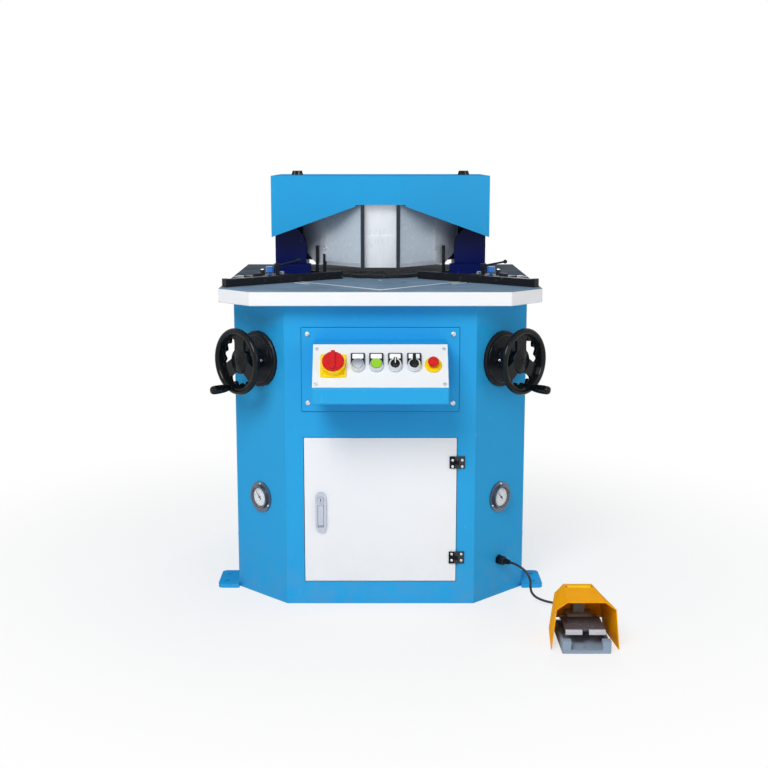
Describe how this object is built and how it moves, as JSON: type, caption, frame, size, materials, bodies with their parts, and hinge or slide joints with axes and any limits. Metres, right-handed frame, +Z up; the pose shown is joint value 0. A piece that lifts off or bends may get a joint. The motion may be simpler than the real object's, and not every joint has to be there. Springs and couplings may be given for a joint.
{
  "type": "hydraulic corner notcher",
  "caption": "Floor-standing corner notcher: blue cabinet with door, control panel, handwheels and gauges, V ram under a hood on a steel table with angled fences, and a foot switch on a cord.",
  "frame": {"origin": "on the floor, under the middle of the cabinet", "axes": "+X to the operator's right, +Y to the back, +Z up"},
  "size_m": [1.107, 1.235, 1.2223],
  "materials": {
    "blue_paint": "semi-gloss powder coat",
    "navy_paint": "semi-gloss paint",
    "white_paint": "semi-gloss powder coat",
    "table_steel": "ground and oiled",
    "scale": "satin with black graduations",
    "bright_steel": "ground",
    "grey_steel": "ground",
    "black_steel": "black oxide",
    "black_plastic": "moulded, glossy",
    "chrome": "polished",
    "galvanised": "zinc plated",
    "clear_plastic": "clear",
    "red_plastic": "moulded",
    "yellow_plastic": "moulded",
    "green_plastic": "moulded",
    "grey_plastic": "moulded, translucent",
    "blue_plastic": "moulded",
    "orange_paint": "semi-gloss paint",
    "switch_grey": "cast and painted",
    "treadle_brown": "worn paint",
    "tank_grey": "satin paint",
    "cord_rubber": "matt sheath"
  },
  "bodies": {
    "machine": {"cabinet_shell": "blue_paint", "hood": "blue_paint", "control_box": "blue_paint", "press_frame": "navy_paint", "control_faceplate": "white_paint", "work_table": "table_steel", "scale_strip": "scale", "lower_blade_left": "bright_steel", "lower_blade_right": "bright_steel", "lower_blade_nose": "bright_steel", "die_plate": "black_steel", "wheel_flange_left": "black_steel", "wheel_flange_right": "black_steel", "hinge_upper": "black_steel", "hinge_lower": "black_steel", "hood_knob_left": "black_plastic", "hood_knob_right": "black_plastic", "cable_gland": "black_plastic", "gauge_case_left": "chrome", "gauge_case_right": "chrome", "electrical_plate": "galvanised", "guard_panel_left": "clear_plastic", "guard_panel_right": "clear_plastic", "gauge_lens_left": "clear_plastic", "gauge_lens_right": "clear_plastic", "main_switch_plate": "yellow_plastic", "foot_switch_hood": "orange_paint", "foot_switch_base": "switch_grey", "oil_tank": "tank_grey", "pump_motor": "tank_grey", "cylinder_barrel": "tank_grey", "foot_cord": "cord_rubber"},
    "ram": {"ram_body": "grey_steel", "ram_nose": "bright_steel", "upper_blade_left": "grey_steel", "upper_blade_right": "grey_steel", "piston_rod": "chrome"},
    "door": {"door_panel": "white_paint", "latch_case": "galvanised"},
    "latch_lever": {"latch_lever": "galvanised"},
    "latch_button": {"latch_button": "chrome"},
    "handwheel_left": {"handwheel_left": "black_plastic"},
    "handwheel_right": {"handwheel_right": "black_plastic"},
    "grip_left": {"grip_left": "black_plastic"},
    "grip_right": {"grip_right": "black_plastic"},
    "fence_left": {"fence_left_bar": "black_steel"},
    "fence_right": {"fence_right_bar": "black_steel"},
    "clamp_lever_left": {"clamp_lever_left": "black_steel"},
    "clamp_lever_right": {"clamp_lever_right": "black_steel"},
    "fence_knob_left": {"fence_knob_left": "blue_plastic"},
    "fence_knob_right": {"fence_knob_right": "blue_plastic"},
    "main_switch_knob": {"main_switch_knob": "red_plastic"},
    "push_button_clear": {"push_button_clear": "grey_plastic"},
    "push_button_green": {"push_button_green": "green_plastic"},
    "selector_inner": {"selector_inner": "black_plastic"},
    "selector_outer": {"selector_outer": "black_plastic"},
    "estop_button": {"estop_button": "red_plastic"},
    "gauge_needle_left": {"gauge_needle_left": "black_plastic"},
    "gauge_needle_right": {"gauge_needle_right": "black_plastic"},
    "foot_treadle": {"foot_treadle": "treadle_brown"}
  },
  "joints": [
    {"name": "ram_slide", "type": "slide", "parent": "machine", "child": "ram", "axis": [0, 0, -1], "range_m": [0, 0.035]},
    {"name": "door_hinge", "type": "hinge", "parent": "machine", "child": "door", "pos_m": [0.217, -0.4048, 0.2775], "axis": [0, 0, 1], "range_deg": [0, 110]},
    {"name": "latch_lever_hinge", "type": "hinge", "parent": "door", "child": "latch_lever", "pos_m": [-0.169, -0.4046, 0.234], "axis": [1, 0, 0], "range_deg": [0, 40]},
    {"name": "latch_button_slide", "type": "slide", "parent": "door", "child": "latch_button", "axis": [0, 1, 0], "range_m": [0, 0.0025], "stiffness_N_per_m": 600},
    {"name": "handwheel_turn_left", "type": "hinge", "parent": "machine", "child": "handwheel_left", "pos_m": [-0.345, -0.3225, 0.701], "axis": [-0.7071, -0.7071, 0], "continuous": true},
    {"name": "grip_turn_left", "type": "hinge", "parent": "handwheel_left", "child": "grip_left", "pos_m": [-0.42363, -0.37257, 0.62566], "axis": [-0.7071, -0.7071, 0], "continuous": true},
    {"name": "fence_slide_left", "type": "slide", "parent": "machine", "child": "fence_left", "axis": [-0.7071, 0.7071, 0], "range_m": [-0.06, 0.04]},
    {"name": "clamp_turn_left", "type": "hinge", "parent": "fence_left", "child": "clamp_lever_left", "pos_m": [-0.3034, -0.144, 0.9436], "axis": [0, 0, -1], "range_deg": [0, 90]},
    {"name": "fence_knob_turn_left", "type": "hinge", "parent": "fence_left", "child": "fence_knob_left", "pos_m": [-0.32538, -0.15827, 0.9256], "axis": [0, 0, 1], "continuous": true},
    {"name": "handwheel_turn_right", "type": "hinge", "parent": "machine", "child": "handwheel_right", "pos_m": [0.345, -0.3225, 0.701], "axis": [0.7071, -0.7071, 0], "continuous": true},
    {"name": "grip_turn_right", "type": "hinge", "parent": "handwheel_right", "child": "grip_right", "pos_m": [0.42363, -0.37257, 0.62566], "axis": [0.7071, -0.7071, 0], "continuous": true},
    {"name": "fence_slide_right", "type": "slide", "parent": "machine", "child": "fence_right", "axis": [0.7071, 0.7071, 0], "range_m": [-0.06, 0.04]},
    {"name": "clamp_turn_right", "type": "hinge", "parent": "fence_right", "child": "clamp_lever_right", "pos_m": [0.3034, -0.144, 0.9436], "axis": [0, 0, 1], "range_deg": [0, 90]},
    {"name": "fence_knob_turn_right", "type": "hinge", "parent": "fence_right", "child": "fence_knob_right", "pos_m": [0.32538, -0.15827, 0.9256], "axis": [0, 0, 1], "continuous": true},
    {"name": "main_switch_turn", "type": "hinge", "parent": "machine", "child": "main_switch_knob", "pos_m": [-0.1259, -0.53895, 0.71284], "axis": [0, 0.7766, -0.63], "range_deg": [0, 90]},
    {"name": "push_button_clear_slide", "type": "slide", "parent": "machine", "child": "push_button_clear", "axis": [0, 0.7766, -0.63], "range_m": [0, 0.004], "stiffness_N_per_m": 800},
    {"name": "push_button_green_slide", "type": "slide", "parent": "machine", "child": "push_button_green", "axis": [0, 0.7766, -0.63], "range_m": [0, 0.004], "stiffness_N_per_m": 800},
    {"name": "selector_inner_turn", "type": "hinge", "parent": "machine", "child": "selector_inner", "pos_m": [0.03953, -0.53863, 0.71322], "axis": [0, 0.7766, -0.63], "range_deg": [-45, 45]},
    {"name": "selector_outer_turn", "type": "hinge", "parent": "machine", "child": "selector_outer", "pos_m": [0.0904, -0.53863, 0.71322], "axis": [0, 0.7766, -0.63], "range_deg": [-45, 45]},
    {"name": "estop_slide", "type": "slide", "parent": "machine", "child": "estop_button", "axis": [0, 0.7766, -0.63], "range_m": [0, 0.005], "stiffness_N_per_m": 1500},
    {"name": "needle_turn_left", "type": "hinge", "parent": "machine", "child": "gauge_needle_left", "pos_m": [-0.345, -0.3225, 0.296], "axis": [-0.7071, -0.7071, 0], "range_deg": [-180, 90]},
    {"name": "needle_turn_right", "type": "hinge", "parent": "machine", "child": "gauge_needle_right", "pos_m": [0.345, -0.3225, 0.296], "axis": [0.7071, -0.7071, 0], "range_deg": [-180, 90]},
    {"name": "treadle_hinge", "type": "hinge", "parent": "machine", "child": "foot_treadle", "pos_m": [0.534, -0.6353, 0.046], "axis": [1, 0, 0], "range_deg": [0, 10], "stiffness_Nm_per_rad": 8, "springref_deg": -11.46}
  ]
}
